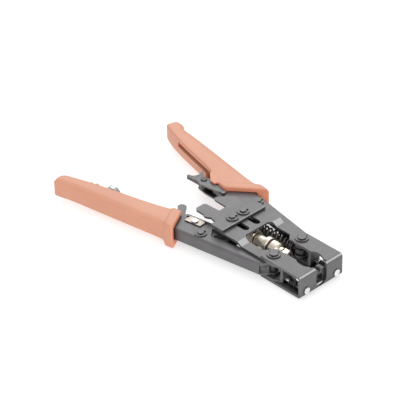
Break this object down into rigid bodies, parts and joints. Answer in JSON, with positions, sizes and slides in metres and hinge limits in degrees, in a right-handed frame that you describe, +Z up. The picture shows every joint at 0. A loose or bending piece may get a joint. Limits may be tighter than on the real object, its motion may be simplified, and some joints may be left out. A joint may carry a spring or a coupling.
{
  "type": "crimping tool",
  "caption": "Hand tool with two levers that drive a spring-loaded plunger towards split jaws, to press compression plugs onto coaxial cable.",
  "frame": {"origin": "centre of the tool's outline, on the bench it lies on", "axes": "+X forward to the head, +Y to the far side, +Z up"},
  "size_m": [0.2064, 0.1155, 0.0228],
  "materials": {
    "black_steel": "satin black coating on sheet steel",
    "dark_steel": "blackened, lightly oiled",
    "bright_steel": "bright zinc",
    "nickel": "polished nickel plate, slightly warm",
    "brass": "satin",
    "orange_grip": "soft matt moulding with a fine grain",
    "black_rubber": "matt"
  },
  "bodies": {
    "head": {"head_bracket": "black_steel", "inner_bracket": "black_steel", "pivot_pins": "black_steel", "pivot_clips": "black_steel", "jaw_pins": "bright_steel", "jaw_spring_near": "bright_steel", "jaw_spring_far": "bright_steel", "guide_rod": "dark_steel", "return_spring": "dark_steel"},
    "slider": {"slider_block": "black_steel", "slider_bar": "black_steel", "slider_pins": "black_steel", "slider_clips": "black_steel", "plunger_rod": "nickel"},
    "locknut": {"plunger_locknut": "nickel"},
    "plunger": {"plunger_body": "nickel", "plunger_ring": "black_rubber", "plunger_tip": "nickel"},
    "lever_near": {"lever_near": "black_steel", "grip_near": "orange_grip", "link_pin_near": "black_steel", "link_clip_near": "black_steel", "lock_tab": "black_steel", "clip_plate": "bright_steel", "clip_rivet": "bright_steel", "spare_adapter_large": "bright_steel", "spare_adapter_small": "brass"},
    "lever_far": {"lever_far": "black_steel", "grip_far": "orange_grip", "link_pin_far": "black_steel", "link_clip_far": "black_steel", "latch_plates": "black_steel", "latch_pin": "bright_steel", "latch_rivet": "black_steel"},
    "latch": {"latch_thumb": "black_steel"},
    "link_near": {"link_near": "dark_steel"},
    "link_far": {"link_far": "dark_steel"},
    "jaw_near": {"jaw_near": "dark_steel"},
    "jaw_far": {"jaw_far": "dark_steel"}
  },
  "joints": [
    {"name": "lever_near_turn", "type": "hinge", "parent": "head", "child": "lever_near", "pos_m": [0.07124, -0.0133, 0.0101], "axis": [0, 0, -1], "range_deg": [0, 11], "stiffness_Nm_per_rad": 0.8, "springref_deg": -8.59},
    {"name": "lever_far_turn", "type": "hinge", "parent": "head", "child": "lever_far", "pos_m": [0.07124, 0.0133, 0.0101], "axis": [0, 0, 1], "range_deg": [0, 11]},
    {"name": "slider_slide", "type": "slide", "parent": "head", "child": "slider", "axis": [1, 0, 0], "range_m": [0, 0.0111], "deforming": ["return_spring"]},
    {"name": "link_near_turn", "type": "hinge", "parent": "lever_near", "child": "link_near", "pos_m": [0.01561, -0.02727, 0.0101], "axis": [0, 0, -1], "range_deg": [0, 30.9]},
    {"name": "link_far_turn", "type": "hinge", "parent": "lever_far", "child": "link_far", "pos_m": [0.01561, 0.02727, 0.0101], "axis": [0, 0, 1], "range_deg": [0, 30.9]},
    {"name": "jaw_near_turn", "type": "hinge", "parent": "head", "child": "jaw_near", "pos_m": [0.09784, -0.0142, 0.0061], "axis": [1, 0, 0], "range_deg": [0, 15], "stiffness_Nm_per_rad": 0.01, "springref_deg": -20.05, "deforming": ["jaw_spring_near"]},
    {"name": "jaw_far_turn", "type": "hinge", "parent": "head", "child": "jaw_far", "pos_m": [0.09784, 0.0142, 0.0061], "axis": [-1, 0, 0], "range_deg": [0, 15], "stiffness_Nm_per_rad": 0.01, "springref_deg": -20.05, "deforming": ["jaw_spring_far"]},
    {"name": "latch_turn", "type": "hinge", "parent": "lever_far", "child": "latch", "pos_m": [-0.02933, 0.0186, 0.0101], "axis": [0, 0, -1], "range_deg": [0, 30]},
    {"name": "plunger_adjust", "type": "slide", "parent": "slider", "child": "plunger", "axis": [1, 0, 0], "range_m": [0, 0.003]},
    {"name": "locknut_turn", "type": "hinge", "parent": "slider", "child": "locknut", "pos_m": [0.03934, 0, 0.0101], "axis": [1, 0, 0], "continuous": true}
  ],
  "couplings": [
    {"joint": "lever_far_turn", "follows": "lever_near_turn", "ratio": 1},
    {"joint": "slider_slide", "follows": "lever_near_turn", "m_per_rad": 0.057778},
    {"joint": "link_near_turn", "follows": "lever_near_turn", "ratio": 2.8083},
    {"joint": "link_far_turn", "follows": "lever_near_turn", "ratio": 2.8083}
  ]
}
